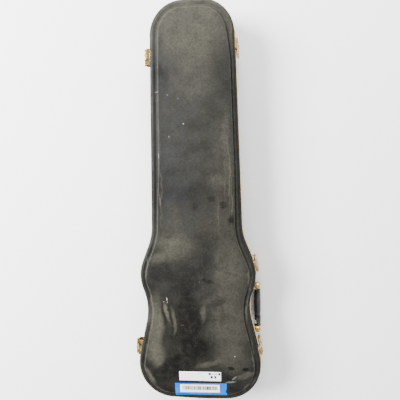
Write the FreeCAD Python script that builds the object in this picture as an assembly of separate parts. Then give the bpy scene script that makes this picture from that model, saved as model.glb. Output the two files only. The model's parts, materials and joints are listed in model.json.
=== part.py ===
"""Form-fit hard case for an electric guitar, as separate pieces on real joints.

Millimetres.  +Z is up with the lid on top, +Y points to the head end and +X to the side with the
latches and the carrying handle.  The origin is the middle of the flat plateau that the case lies on.
"""
import FreeCAD
import Part
import math
import os

from FreeCAD import Placement, Rotation, Vector

# ---- driving dimensions -------------------------------------------------------------------------
HEAD_END_Y = 550.0          # outer edge of the straight head end
OUTLINE_CORNERS = [         # corners of the outline on the +X side: x, y, corner radius
    (113.5, HEAD_END_Y, 91.0),   # head corner
    (127.5, -80.0, 149.0),       # shoulder, hollow
    (171.0, -188.5, 112.5),      # upper bout
    (139.5, -281.0, 160.0),      # waist, hollow
    (167.0, -396.0, 215.0),      # flank of the lower bout
    (196.0, -544.0, 101.0),      # tail corner
]
TAIL_CORNER = (0.0, -550.3, 660.0)   # slightly bowed tail end

SPLIT_Z = 70.0              # plane where base and lid meet
PANEL_Z = 117.5             # top face of the lid's raised panel
SHELL_THICK = 3.0
WALL_INSET = 1.5            # the shell's wall lies this far inside the valance's outer face
BASE_DRAFT = 2.5
LID_DRAFT = 1.5
SPLIT_GAP = 0.3             # between the two valances when closed
RIM_DEPTH = 13.0            # the wall ends this far from the panel plane and the rim bead begins
PLATE_INSET = 29.0

VALANCE_HEIGHT = 8.0
VALANCE_THICK = 1.4
LIP_RISE = 4.0              # the base valance's lip stands this far above the split
LIP_INSET = 5.3

PAD_TOP_Z = 66.0
FLOOR_PAD_Z = 13.0
LINING_GAP = 0.6

# hinges: the hinge line is straight, and clears every bulge of the spine side
HINGE_CENTRES = {"neck": (-134.5, 417.0), "body": (-186.0, -415.0)}
HINGE_LENGTH = 43.0
KNUCKLE_R = 3.5
HINGE_PIN_R = 1.6
RUNNING_CLEARANCE = 0.06
LEAF_THICK = 1.5
RIVET_LIFT = 0.17           # keeps a flat head clear of the sloping, curved plate under it

# draw latches on the +X wall
LATCH_Y = {"neck": 437.0, "upper_bout": -170.0, "lower_bout": -416.0}
LATCH_HALF_WIDTH = 27.0
EAR_V = (22.0, 23.5)        # span of a base ear along the wall, from the latch's middle
CHEEK_V = (20.2, 21.7)      # span of a lever cheek
HASP_HALF_WIDTH = 16.0
LEVER_PIVOT = (5.0, 59.0)   # outward from the valance face, height
HASP_PIVOT = (4.2, 51.0)
LEVER_PIN_R = 1.5
HASP_PIN_R = 1.2
LEVER_FACE_U = 8.5
HASP_TOP_Z = 82.2
LOCK_R = 4.0
LOCK_Z = 37.0

# carrying handle at the waist
HANDLE_Y = -301.0
HANDLE_PIVOT = (173.0, 50.0)   # x, z
HANDLE_DROP = 36.0
POST_SPAN = (55.0, 69.0)       # along Y from the handle's middle
CAP_SPAN = (43.0, 54.0)
HANDLE_PIN_R = 2.5
POST_HEAD_AT = (169.4, 64.2)   # x, distance along Y from the handle's middle
POST_HEAD_R = (7.4, 9.0)       # neck, head
POST_HEAD_Z = (43.5, 48.5, 55.8, 58.6, 63.2)   # foot, top of foot, neck's end, dome's start and top

# accessory compartment under the neck
BOX_Y = (-12.0, 182.0)
BOX_HALF_WIDTH = 96.0
BOX_TOP_Z = 47.5
BOX_HINGE = (-97.0, 50.0)      # x, z

# stickers near the tail of the lid
LABEL = {"centre": (2.8, -474.0), "size": (117.0, 26.2), "turn": 0.3}
TAPE = {"centre": (4.7, -514.0), "size": (146.0, 39.0), "turn": 1.1}
TAPE_LABEL = {"centre": (1.6, -510.0), "size": (111.5, 22.5), "turn": 1.1}


# ---- outline ------------------------------------------------------------------------------------
def rounded_corners():
    """Centre, radius, turning side and three arc points of every corner, anticlockwise from the head."""
    left = [(-x, y, r) for x, y, r in OUTLINE_CORNERS]
    loop = left + [TAIL_CORNER] + OUTLINE_CORNERS[::-1]
    rounded = []
    for i, (x, y, radius) in enumerate(loop):
        corner = Vector(x, y, 0)
        before = Vector(*loop[i - 1][:2], 0)
        after = Vector(*loop[(i + 1) % len(loop)][:2], 0)
        come = (corner - before).normalize()
        leave = (after - corner).normalize()
        turn = math.atan2(come.cross(leave).z, come.dot(leave))
        side = 1 if turn > 0 else -1
        reach = radius * math.tan(abs(turn) / 2)
        start = corner - come * reach
        centre = start + Vector(-come.y, come.x, 0) * (radius * side)
        middle = centre + (corner - centre).normalize() * radius
        rounded.append((centre, radius, side, (start, middle, corner + leave * reach)))
    return rounded


def outline(inset, z):
    """The case's outline moved inwards by inset, at height z, from the middle of the head end."""
    start = Vector(0, HEAD_END_Y - inset, z)
    here = start
    edges = []
    for centre, radius, side, points in rounded_corners():
        scale = (radius - side * inset) / radius
        arc = [centre + (p - centre) * scale + Vector(0, 0, z) for p in points]
        edges.append(Part.LineSegment(here, arc[0]).toShape())
        edges.append(Part.Arc(*arc).toShape())
        here = arc[2]
    edges.append(Part.LineSegment(here, start).toShape())
    return Part.Wire(edges)


def slab(inset, bottom, top):
    """A flat plate with the case's outline."""
    return Part.Face(outline(inset, bottom)).extrude(Vector(0, 0, top - bottom))


def band(*section):
    """A ring with a constant section, swept round the outline.

    The section is a list of (inset, z) points; a pair of points inside a list is an arc through the
    first to the second.
    """
    def place(point):
        return Vector(0, HEAD_END_Y - point[0], point[1])

    here = place(section[0])
    edges = []
    for step in list(section[1:]) + [section[0]]:
        if isinstance(step, list):
            edges.append(Part.Arc(here, place(step[0]), place(step[1])).toShape())
            here = place(step[1])
        else:
            edges.append(Part.LineSegment(here, place(step)).toShape())
            here = place(step)
    return outline(0, 0).makePipeShell([Part.Wire(edges)], True, False)


# ---- shells, valances -----------------------------------------------------------------------------
def shell(edge_z, panel_z, draft):
    """One moulded half: wall, rounded rim bead, groove, raised edge and flat panel."""
    up = 1 if panel_z > edge_z else -1
    wall = WALL_INSET + draft
    bead = 9.5

    def at(inset, depth):
        return (inset, panel_z - up * depth)

    lean = math.sqrt(0.5)
    shoulder = at(bead - (bead - wall) * lean, RIM_DEPTH - (RIM_DEPTH - 6.0) * lean)
    ring = band(
        (WALL_INSET, edge_z),
        at(wall, RIM_DEPTH),
        [shoulder, at(bead, 6.0)],
        [at(12.3, 6.66), at(14.5, 8.5)],
        at(17.2, 3.8),
        [at(18.7, 1.1), at(21.8, 0.0)],
        at(PLATE_INSET + 1, 0.0),
        at(PLATE_INSET + 1, SHELL_THICK),
        at(21.8, SHELL_THICK),
        at(19.8, 4.9),
        at(16.9, 11.4),
        at(14.5, 11.7),
        at(bead, 9.1),
        at(wall + SHELL_THICK, RIM_DEPTH),
        (WALL_INSET + SHELL_THICK, edge_z),
    )
    low = min(panel_z, panel_z - up * SHELL_THICK)
    return ring.fuse(slab(PLATE_INSET, low, low + SHELL_THICK)).removeSplitter()


def wall_inset(z):
    """How far the shells' outer wall lies inside the valance's outer face at height z."""
    if z < SPLIT_Z:
        return WALL_INSET + BASE_DRAFT * (SPLIT_Z - 1.5 - z) / (SPLIT_Z - 1.5 - RIM_DEPTH)
    return WALL_INSET + LID_DRAFT * (z - SPLIT_Z - 1.5) / (PANEL_Z - RIM_DEPTH - SPLIT_Z - 1.5)


def base_valance():
    top = SPLIT_Z - SPLIT_GAP / 2
    seat = top - 1.3
    return band(
        (0.0, SPLIT_Z - VALANCE_HEIGHT),
        (0.0, top),
        (LIP_INSET, top),
        (LIP_INSET, SPLIT_Z + LIP_RISE),
        (LIP_INSET + VALANCE_THICK, SPLIT_Z + LIP_RISE),
        (LIP_INSET + VALANCE_THICK, seat),
        (VALANCE_THICK, seat),
        (VALANCE_THICK, SPLIT_Z - VALANCE_HEIGHT),
    )


def lid_valance():
    bottom = SPLIT_Z + SPLIT_GAP / 2
    seat = bottom + 1.3
    return band(
        (0.0, SPLIT_Z + VALANCE_HEIGHT),
        (0.0, bottom),
        (WALL_INSET + SHELL_THICK, bottom),
        (WALL_INSET + SHELL_THICK, seat),
        (VALANCE_THICK, seat),
        (VALANCE_THICK, SPLIT_Z + VALANCE_HEIGHT),
    )


# ---- places on the wall -----------------------------------------------------------------------------
def wall_point(side, y):
    ray = Part.makeLine(Vector(0, y, 0), Vector(side * 400.0, y, 0))
    return outline(0, 0).section(ray).Vertexes[0].Point


def wall_frame(side, y):
    """Placement whose X points straight out of the wall at y, with Z up and its origin at z = 0."""
    along = wall_point(side, y + 1.0) - wall_point(side, y - 1.0)
    outward = Vector(along.y, -along.x, 0) * side
    angle = math.degrees(math.atan2(outward.y, outward.x))
    return Placement(wall_point(side, y), Rotation(Vector(0, 0, 1), angle))


def block(u, v, w):
    """A box from three (low, high) spans."""
    return Part.makeBox(u[1] - u[0], v[1] - v[0], w[1] - w[0], Vector(u[0], v[0], w[0]))


def plate_across(points, v):
    """A plate with a polygon of (u, z) points as its side view, over the span v."""
    corners = [Vector(u, v[0], z) for u, z in points]
    return Part.Face(Part.makePolygon(corners + corners[:1])).extrude(Vector(0, v[1] - v[0], 0))


def rod(radius, centre, v):
    """A cylinder along v through (u, z)."""
    return Part.makeCylinder(radius, v[1] - v[0], Vector(centre[0], v[0], centre[1]), Vector(0, 1, 0))


def mirrored(shape):
    """The shape and its mirror image across the local v = 0 plane."""
    return shape.fuse(shape.mirror(Vector(0, 0, 0), Vector(0, 1, 0)))


def placed(shape, placement):
    moved = shape.copy()
    moved.Placement = placement.multiply(moved.Placement)
    return moved


def wall_plate(low, high, frame, half_width):
    """A sheet-metal plate that hugs the wall between two heights."""
    skin = band(
        (wall_inset(low), low),
        (wall_inset(high), high),
        (wall_inset(high) - LEAF_THICK, high),
        (wall_inset(low) - LEAF_THICK, low),
    )
    return skin.common(placed(block((-30, 30), (-half_width, half_width), (low, high)), frame))


def case_core(z_low, z_high):
    """Everything inside the shells' outer wall over a stretch of height."""
    return Part.makeLoft([outline(wall_inset(z_low), z_low), outline(wall_inset(z_high), z_high)], True)


BASE_CORE_SPAN = (RIM_DEPTH, SPLIT_Z - 1.5)
LID_CORE_SPAN = (SPLIT_Z + 1.5, PANEL_Z - RIM_DEPTH)


def rivets(side, y, spots):
    """Domed rivet heads on a wall plate, at (v, z) spots around the wall point at y."""
    frame = wall_frame(side, y)
    heads = []
    for v, z in spots:
        along = frame.Rotation.multVec(Vector(0, 1, 0))
        foot = wall_frame(side, frame.Base.y + v * along.y)
        depth = -wall_inset(z) + LEAF_THICK + RIVET_LIFT
        dome = Part.makeSphere(3.2, Vector(depth - 1.9, 0, z))
        head = dome.common(block((depth, depth + 5), (-5, 5), (z - 5, z + 5)))
        heads.append(placed(head, foot))
    return heads


# ---- hinges ---------------------------------------------------------------------------------------
def hinge_frame(name):
    """Placement with Y along the hinge line and X pointing away from the case."""
    neck = Vector(*HINGE_CENTRES["neck"], SPLIT_Z)
    body = Vector(*HINGE_CENTRES["body"], SPLIT_Z)
    line = body - neck
    angle = math.degrees(math.atan2(-line.x, line.y))
    centre = Vector(*HINGE_CENTRES[name], SPLIT_Z)
    return Placement(centre, Rotation(Vector(0, 0, 1), angle))


def hinge_leaf(name, up, spans, bore):
    """A bent leaf: a plate on the wall, a web out to the hinge line and its knuckles."""
    frame = hinge_frame(name)
    web_points = [(-0.6, 3.3), (-2.7, 2.1), (-5.8, 8.8), (-36.0, 8.8), (-36.0, 10.3), (-5.0, 10.3)]
    web_points = [(u, up * z) for u, z in web_points]
    leaf = None
    for span in spans:
        knuckle = rod(KNUCKLE_R, (0, 0), span)
        piece = knuckle.fuse(plate_across(web_points, span)).cut(rod(bore, (0, 0), (-60, 60)))
        leaf = piece if leaf is None else leaf.fuse(piece)
    flange = [(-5.0, 8.8), (-36.0, 8.8), (-36.0, 10.3), (-5.0, 10.3)]
    flange = [(u, up * z) for u, z in flange]
    half = HINGE_LENGTH / 2
    leaf = placed(leaf.fuse(plate_across(flange, (-half, half))), frame)
    core = case_core(*(LID_CORE_SPAN if up > 0 else BASE_CORE_SPAN))
    low, high = (SPLIT_Z + 8.8, SPLIT_Z + 31.0) if up > 0 else (SPLIT_Z - 31.0, SPLIT_Z - 8.8)
    plate = wall_plate(low, high, wall_frame(-1, HINGE_CENTRES[name][1]), half)
    return leaf.cut(core).fuse(plate).removeSplitter()


def hinge_pin(name):
    half = HINGE_LENGTH / 2
    pin = rod(HINGE_PIN_R, (0, 0), (-half - 0.6, half + 0.6))
    heads = mirrored(rod(HINGE_PIN_R + 0.7, (0, 0), (half + 0.1, half + 1.1)))
    return placed(pin.fuse(heads), hinge_frame(name))


# ---- draw latches -----------------------------------------------------------------------------------
def latch_plate(y):
    """Base plate on the wall with two ears that carry the lever."""
    frame = wall_frame(1, y)
    pu, pz = LEVER_PIVOT
    side_view = [(-8, 42), (-8, 60.5), (-1, 60.5), (pu - 2.4, pz + 2.2), (pu + 3.0, pz), (pu, pz - 6)]
    ear = plate_across(side_view, EAR_V).fuse(rod(3.0, LEVER_PIVOT, EAR_V))
    ears = mirrored(ear.cut(rod(LEVER_PIN_R + 0.02, LEVER_PIVOT, (0, 60))))
    ears = placed(ears, frame).cut(case_core(*BASE_CORE_SPAN))
    return ears.fuse(wall_plate(19.0, 61.0, frame, LATCH_HALF_WIDTH)).removeSplitter()


def lever_pins(y):
    """Two short rivets on which the lever turns."""
    shank = rod(LEVER_PIN_R, LEVER_PIVOT, (CHEEK_V[0] - 0.3, EAR_V[1] + 0.1))
    head = rod(LEVER_PIN_R + 1.0, LEVER_PIVOT, (EAR_V[1] + 0.1, EAR_V[1] + 1.1))
    return placed(mirrored(shank.fuse(head)), wall_frame(1, y))


def lever(y, locked):
    """Channel-shaped lever: a face with a finger lip between two cheeks."""
    width = CHEEK_V[1]
    pu, pz = LEVER_PIVOT
    face_u = LEVER_FACE_U
    cheek_view = [
        (pu - 3.0, pz), (HASP_PIVOT[0] - 2.6, HASP_PIVOT[1] - 1), (HASP_PIVOT[0] - 1.0, 45.0),
        (face_u - 2.0, 34.0), (face_u, 27.5), (face_u + 1.2, 27.5), (face_u + 1.2, 45.0), (pu + 3.0, pz),
    ]
    cheek = plate_across(cheek_view, CHEEK_V).fuse(rod(3.0, LEVER_PIVOT, CHEEK_V))
    cheek = cheek.cut(rod(LEVER_PIN_R + RUNNING_CLEARANCE, LEVER_PIVOT, (0, 60)))
    cheek = cheek.cut(rod(HASP_PIN_R + 0.02, HASP_PIVOT, (0, 60)))
    face = block((face_u, face_u + 1.2), (-width, width), (27.5, 45.0))
    finger_lip = plate_across([(8.5, 28.0), (9.7, 28.0), (12.2, 25.2), (11.2, 24.4)], (-width + 3, width - 3))
    body = mirrored(cheek).fuse(face).fuse(finger_lip)
    if locked:
        collar = Part.makeCylinder(LOCK_R + 1.6, 0.8, Vector(face_u + 1.2, 0, LOCK_Z), Vector(1, 0, 0))
        hole = Part.makeCylinder(LOCK_R + RUNNING_CLEARANCE, 20, Vector(0, 0, LOCK_Z), Vector(1, 0, 0))
        body = body.fuse(collar).cut(hole)
    return placed(body.removeSplitter(), wall_frame(1, y))


def hasp_pin(y):
    reach = CHEEK_V[1] + 0.1
    return placed(rod(HASP_PIN_R, HASP_PIVOT, (-reach, reach)), wall_frame(1, y))


def hasp(y):
    """Flat hasp with a rolled knuckle below and a hook folded in over the keeper's nose above."""
    u, z = HASP_PIVOT
    half = HASP_HALF_WIDTH
    span = (-half, half)
    knuckle = rod(2.2, HASP_PIVOT, span)
    strap = block((u - 0.6, u + 0.6), span, (z, HASP_TOP_Z + 1.4))
    hook = block((u - 3.2, u + 0.6), (-half + 2, half - 2), (HASP_TOP_Z, HASP_TOP_Z + 1.4))
    rib = block((u + 0.6, u + 1.2), (-half + 5, half - 5), (z + 10, HASP_TOP_Z - 6))
    body = knuckle.fuse(strap).fuse(hook).fuse(rib)
    bore = rod(HASP_PIN_R + RUNNING_CLEARANCE, HASP_PIVOT, (-60, 60))
    return placed(body.cut(bore).removeSplitter(), wall_frame(1, y))


def keeper(y):
    """Plate on the lid with a flat nose for the hasp's hook."""
    frame = wall_frame(1, y)
    nose = block((-9, HASP_PIVOT[0] - 0.9), (-11, 11), (HASP_TOP_Z - 2.2, HASP_TOP_Z - 0.2))
    nose = placed(nose, frame).cut(case_core(*LID_CORE_SPAN))
    return nose.fuse(wall_plate(79.0, 100.0, frame, 19.0)).removeSplitter()


def lock_cylinder(y):
    start = LEVER_FACE_U - 0.8
    barrel = Part.makeCylinder(LOCK_R, 3.6, Vector(start, 0, LOCK_Z), Vector(1, 0, 0))
    slot = block((start + 2.0, start + 9), (-0.6, 0.6), (LOCK_Z - 2.6, LOCK_Z + 2.6))
    return placed(barrel.cut(slot), wall_frame(1, y))


# ---- handle -----------------------------------------------------------------------------------------
def post_head(end):
    """Turned head over a handle post: a foot, a neck that hides the pin's end, and a domed top."""
    x, reach = POST_HEAD_AT
    neck, wide = POST_HEAD_R
    foot, waist, shoulder, spring, top = POST_HEAD_Z
    side = [Vector(0, 0, foot), Vector(neck + 1, 0, foot), Vector(neck + 1, 0, waist - 1)]
    side += [Vector(neck, 0, waist), Vector(neck, 0, shoulder), Vector(wide, 0, spring - 1)]
    side.append(Vector(wide, 0, spring))
    edges = [Part.LineSegment(a, b).toShape() for a, b in zip(side, side[1:])]
    crown = Vector(0, 0, top)
    bulge = Vector(wide * 0.66, 0, spring + (top - spring) * 0.76)
    edges.append(Part.Arc(side[-1], bulge, crown).toShape())
    edges.append(Part.LineSegment(crown, side[0]).toShape())
    head = Part.Face(Part.Wire(edges)).revolve(Vector(0, 0, 0), Vector(0, 0, 1), 360)
    return placed(head, Placement(Vector(x, HANDLE_Y + end * reach, 0), Rotation()))


def handle_bracket(end):
    """Gold bracket: a plate on the wall and a post that holds the handle's pin; end is +1 or -1."""
    near, far = POST_SPAN
    x, z = HANDLE_PIVOT
    middle = HANDLE_Y + end * (near + far) / 2
    frame = wall_frame(1, middle)
    upper_edge = [(x - 40, z + 9), (x - 9, z + 9), (x + 3, z + 5.2)]
    view = upper_edge + [(x + 3, z - 5.2), (x - 9, z - 9), (x - 40, z - 9)]
    low, high = sorted((HANDLE_Y + end * near, HANDLE_Y + end * far))
    post = plate_across(view, (low, high)).fuse(rod(6.0, HANDLE_PIVOT, (low, high)))
    post = post.fuse(post_head(end))
    post = post.cut(rod(HANDLE_PIN_R + 0.02, HANDLE_PIVOT, (low - 1, high + 1)))
    post = post.cut(case_core(*BASE_CORE_SPAN))
    return post.fuse(wall_plate(38.0, 61.0, frame, 15.0)).removeSplitter()


def handle_pins():
    pins = []
    for end in (1, -1):
        low, high = sorted((HANDLE_Y + end * (CAP_SPAN[0] + 1), HANDLE_Y + end * (POST_SPAN[1] + 0.6)))
        pins.append(rod(HANDLE_PIN_R, HANDLE_PIVOT, (low, high)))
    return pins


def handle_end_cap(end):
    """Leg of the handle that hangs on the pin and is rolled round the grip's end."""
    x, z = HANDLE_PIVOT
    low, high = sorted((HANDLE_Y + end * CAP_SPAN[0], HANDLE_Y + end * CAP_SPAN[1]))
    leg = block((x - 5.5, x + 5.5), (low, high), (z - HANDLE_DROP, z))
    leg = leg.fuse(rod(5.5, HANDLE_PIVOT, (low, high)))
    leg = leg.fuse(rod(9.5, (x, z - HANDLE_DROP), (low, high)))
    return leg.cut(rod(HANDLE_PIN_R + RUNNING_CLEARANCE, HANDLE_PIVOT, (low - 1, high + 1))).removeSplitter()


def handle_grip():
    """Moulded grip between the two end caps, slightly fuller in the middle."""
    x, z = HANDLE_PIVOT
    reach = CAP_SPAN[0]
    line = [Vector(0, -reach, 0), Vector(8.5, -reach, 0)]
    bulge = Part.Arc(line[1], Vector(10.5, 0, 0), Vector(8.5, reach, 0)).toShape()
    ends = [Part.LineSegment(*line).toShape(), bulge]
    ends.append(Part.LineSegment(Vector(8.5, reach, 0), Vector(0, reach, 0)).toShape())
    ends.append(Part.LineSegment(Vector(0, reach, 0), line[0]).toShape())
    grip = Part.Face(Part.Wire(ends)).revolve(Vector(0, 0, 0), Vector(0, 1, 0), 360)
    return placed(grip, Placement(Vector(x, HANDLE_Y, z - HANDLE_DROP), Rotation()))


# ---- interior ---------------------------------------------------------------------------------------
def base_wall_padding():
    """The padding round the base's wall, in strips with butt joints."""
    inner = WALL_INSET + SHELL_THICK + BASE_DRAFT + LINING_GAP
    foot = FLOOR_PAD_Z + 0.6
    ring = band((inner, foot), (inner, PAD_TOP_Z), (inner + 12, PAD_TOP_Z), (inner + 12, foot))
    strips = {
        "base_padding_head_end": ((-200, 200), (505, 560)),
        "base_padding_neck_left": ((-200, 0), (-60, 505)),
        "base_padding_neck_right": ((0, 200), (-60, 505)),
        "base_padding_body_left": ((-200, 0), (-515, -60)),
        "base_padding_body_right": ((0, 200), (-515, -60)),
        "base_padding_tail_end": ((-200, 200), (-560, -515)),
    }
    joint = 0.15
    return {
        name: ring.common(block(x, (y[0] + joint, y[1] - joint), (0, 100)))
        for name, (x, y) in strips.items()
    }


def lid_wall_lining():
    outer = WALL_INSET + SHELL_THICK + LID_DRAFT + LINING_GAP
    low = SPLIT_Z + LIP_RISE + 1.5
    high = PANEL_Z - RIM_DEPTH
    return band((outer, low), (outer, high), (outer + 5, high), (outer + 5, low))


def neck_cradle():
    """Padded block with a notch that the guitar's neck rests in."""
    body = block((-101, 101), (-58, -20), (FLOOR_PAD_Z + 0.2, PAD_TOP_Z))
    notch = block((-35, 35), (-70, 0), (BOX_TOP_Z + 3, PAD_TOP_Z + 1))
    ends = [edge for edge in notch.Edges if abs(edge.CenterOfMass.x) == 35 and edge.BoundBox.YLength > 1]
    low_ends = [edge for edge in ends if edge.CenterOfMass.z < PAD_TOP_Z]
    return body.cut(notch.makeFillet(6.0, low_ends))


def compartment_lid():
    low, high = BOX_Y
    board = block((BOX_HINGE[0] + 1, BOX_HALF_WIDTH), (low, high), (BOX_TOP_Z + 0.7, BOX_TOP_Z + 4.2))
    corners = [e for e in board.Edges if e.BoundBox.ZLength > 3 and e.CenterOfMass.x > 0]
    return board.makeFillet(8.0, corners)


# ---- stickers on the lid ------------------------------------------------------------------------------
def lid_skin(lift, thick):
    """A thin skin that follows the lid's top from the panel over its edge, groove and rim bead."""
    def at(inset, depth, rise):
        return (inset - 0.7 * rise, PANEL_Z - depth + 0.7 * rise)

    low, high = lift, lift + thick
    return band(
        (70.0, PANEL_Z + low),
        (21.8, PANEL_Z + low),
        [at(18.7, 1.1, low), at(17.2, 3.8, low)],
        at(15.9, 6.05, low),
        at(8.5, 5.95, low),
        at(8.5, 5.95, high),
        at(15.9, 6.05, high),
        at(17.2, 3.8, high),
        [at(18.7, 1.1, high), (21.8, PANEL_Z + high)],
        (70.0, PANEL_Z + high),
    )


def turned_block(spec, z):
    (x, y), (width, height) = spec["centre"], spec["size"]
    flat = block((-width / 2, width / 2), (-height / 2, height / 2), z)
    return placed(flat, Placement(Vector(x, y, 0), Rotation(Vector(0, 0, 1), spec["turn"])))


def sticker(spec, lift, thick):
    return lid_skin(lift, thick).common(turned_block(spec, (90, 130)))


# ---- all nodes ----------------------------------------------------------------------------------------
def shells_and_lining():
    base_edge = SPLIT_Z - SPLIT_GAP / 2 - 1.35
    lid_edge = SPLIT_Z + SPLIT_GAP / 2 + 1.35
    low, high = BOX_Y
    return {
        "base_shell": shell(base_edge, 0.0, BASE_DRAFT),
        "lid_shell": shell(lid_edge, PANEL_Z, LID_DRAFT),
        "base_valance": base_valance(),
        "lid_valance": lid_valance(),
        "base_floor_pad": slab(22.5, SHELL_THICK + 0.2, FLOOR_PAD_Z),
        **base_wall_padding(),
        "lid_top_pad": slab(24.0, PANEL_Z - SHELL_THICK - 8.2, PANEL_Z - SHELL_THICK - 0.2),
        "lid_wall_lining": lid_wall_lining(),
        "neck_cradle": neck_cradle(),
        "headstock_pad": block((-96, 96), (300, 340), (FLOOR_PAD_Z + 0.2, 46.0)),
        "compartment_front_wall": block((-101, 101), (low - 6, low - 1), (FLOOR_PAD_Z + 0.2, BOX_TOP_Z)),
        "compartment_rear_wall": block((-98, 98), (high - 1, high + 4), (FLOOR_PAD_Z + 0.2, BOX_TOP_Z)),
        "compartment_lid": compartment_lid(),
        "compartment_hinge_tape": block((-100.6, -99.8), (low + 4, high - 4), (BOX_HINGE[1], 62.0)),
        "compartment_pull_tab": block((70, 94), (74, 96), (BOX_TOP_Z + 4.3, BOX_TOP_Z + 5.1)),
    }


def hinges():
    half = HINGE_LENGTH / 2
    nodes = {}
    base_heads = []
    lid_heads = []
    for name, (_, y) in HINGE_CENTRES.items():
        base_spans = [(-half, -7.7), (7.7, half)]
        nodes[f"hinge_{name}_base_leaf"] = hinge_leaf(name, -1, base_spans, HINGE_PIN_R + 0.02)
        nodes[f"hinge_{name}_lid_leaf"] = hinge_leaf(name, 1, [(-7.4, 7.4)], HINGE_PIN_R + RUNNING_CLEARANCE)
        nodes[f"hinge_{name}_pin"] = hinge_pin(name)
        base_heads += rivets(-1, y, [(-14, 49), (14, 49), (0, 44)])
        lid_heads += rivets(-1, y, [(-14, 91), (14, 91), (0, 96)])
    nodes["hinge_base_rivets"] = Part.makeCompound(base_heads)
    nodes["hinge_lid_rivets"] = Part.makeCompound(lid_heads)
    return nodes


def latches():
    nodes = {}
    base_heads = []
    keeper_heads = []
    for name, y in LATCH_Y.items():
        nodes[f"latch_{name}_plate"] = latch_plate(y)
        nodes[f"latch_{name}_lever_pins"] = lever_pins(y)
        nodes[f"latch_{name}_lever"] = lever(y, name == "lower_bout")
        nodes[f"latch_{name}_hasp_pin"] = hasp_pin(y)
        nodes[f"latch_{name}_hasp"] = hasp(y)
        nodes[f"keeper_{name}"] = keeper(y)
        base_heads += rivets(1, y, [(-19, 23.5), (19, 23.5)])
        keeper_heads += rivets(1, y, [(-12, 93.5), (12, 93.5)])
    nodes["latch_base_rivets"] = Part.makeCompound(base_heads)
    nodes["keeper_rivets"] = Part.makeCompound(keeper_heads)
    nodes["lock_cylinder"] = lock_cylinder(LATCH_Y["lower_bout"])
    return nodes


def handle():
    heads = []
    for end in (1, -1):
        middle = HANDLE_Y + end * sum(POST_SPAN) / 2
        heads += rivets(1, middle, [(-10.5, 50), (10.5, 50)])
    return {
        "handle_bracket_upper": handle_bracket(1),
        "handle_bracket_lower": handle_bracket(-1),
        "handle_bracket_rivets": Part.makeCompound(heads),
        "handle_pins": Part.makeCompound(handle_pins()),
        "handle_grip": handle_grip(),
        "handle_end_cap_upper": handle_end_cap(1),
        "handle_end_cap_lower": handle_end_cap(-1),
    }


def stickers():
    return {
        "price_label": turned_block(LABEL, (PANEL_Z + 0.05, PANEL_Z + 0.35)),
        "tape_strip": sticker(TAPE, 0.05, 0.3),
        "tape_label": sticker(TAPE_LABEL, 0.4, 0.25),
    }


def main():
    os.makedirs("parts", exist_ok=True)
    nodes = {**shells_and_lining(), **hinges(), **latches(), **handle(), **stickers()}
    for name, shape in nodes.items():
        shape.exportStep(f"parts/{name}.step")
        print(f"{name:28s} solids {len(shape.Solids)} valid {shape.isValid()} volume {shape.Volume:.0f}")


main()
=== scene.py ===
"""Looks of the form-fit guitar case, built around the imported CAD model.

Metres, in the CAD model's frame: +Z up, +Y to the head end, +X to the latches and the handle.
"""

import json
import math

import bmesh
import bpy
import numpy as np
from mathutils import Matrix, Vector, noise


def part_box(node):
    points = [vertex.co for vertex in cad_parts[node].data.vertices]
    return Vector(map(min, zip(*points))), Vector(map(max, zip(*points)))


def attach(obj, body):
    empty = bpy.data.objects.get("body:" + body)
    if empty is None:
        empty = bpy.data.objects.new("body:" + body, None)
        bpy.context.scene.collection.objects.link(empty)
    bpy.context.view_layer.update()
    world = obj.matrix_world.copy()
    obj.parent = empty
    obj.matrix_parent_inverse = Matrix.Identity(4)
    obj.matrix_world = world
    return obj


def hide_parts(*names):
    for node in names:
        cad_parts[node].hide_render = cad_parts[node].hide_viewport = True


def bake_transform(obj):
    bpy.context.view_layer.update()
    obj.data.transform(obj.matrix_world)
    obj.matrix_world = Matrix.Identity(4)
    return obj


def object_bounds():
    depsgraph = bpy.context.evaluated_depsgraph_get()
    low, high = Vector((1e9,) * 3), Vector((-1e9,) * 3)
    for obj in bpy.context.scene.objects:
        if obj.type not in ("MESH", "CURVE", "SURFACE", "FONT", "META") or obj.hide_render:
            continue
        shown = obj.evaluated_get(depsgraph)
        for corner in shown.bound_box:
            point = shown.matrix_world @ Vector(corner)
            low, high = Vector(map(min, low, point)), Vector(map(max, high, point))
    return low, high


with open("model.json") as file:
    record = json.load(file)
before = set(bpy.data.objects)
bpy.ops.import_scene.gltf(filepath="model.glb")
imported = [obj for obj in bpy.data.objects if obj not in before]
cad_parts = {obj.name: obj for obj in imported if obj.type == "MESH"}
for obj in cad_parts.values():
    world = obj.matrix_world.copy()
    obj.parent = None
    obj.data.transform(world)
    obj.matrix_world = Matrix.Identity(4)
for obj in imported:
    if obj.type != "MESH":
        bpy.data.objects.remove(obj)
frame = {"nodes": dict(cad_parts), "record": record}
CAD_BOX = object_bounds()

# ---- driving dimensions ----
MM = 0.001
BASE_LOW, BASE_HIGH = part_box("base_shell")
LID_LOW, LID_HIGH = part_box("lid_shell")
BASE_RIM_LOW, BASE_RIM_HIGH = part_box("base_valance")
LID_RIM_LOW, LID_RIM_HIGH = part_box("lid_valance")
HEAD_END_Y = BASE_RIM_HIGH.y

OUTLINE_CORNERS = [  # corners on the +X side: x, y, corner radius
    (0.1135, HEAD_END_Y, 0.091),  # head corner
    (0.1275, -0.08, 0.149),  # shoulder, hollow
    (0.171, -0.1885, 0.1125),  # upper bout
    (0.1395, -0.281, 0.16),  # waist, hollow
    (0.167, -0.396, 0.215),  # flank of the lower bout
    (0.196, -0.544, 0.101),  # tail corner
]
TAIL_CORNER = (0.0, BASE_RIM_LOW.y - 0.3 * MM, 0.66)  # the tail end is a wide, shallow arc
OUTLINE_STEP = 0.0042
SPINE_Y = (-0.4, 0.455)  # the panels' rings shrink to this stretch of the middle line
SPINE_INSET = 60 * MM  # from the ring at this inset inwards

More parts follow.
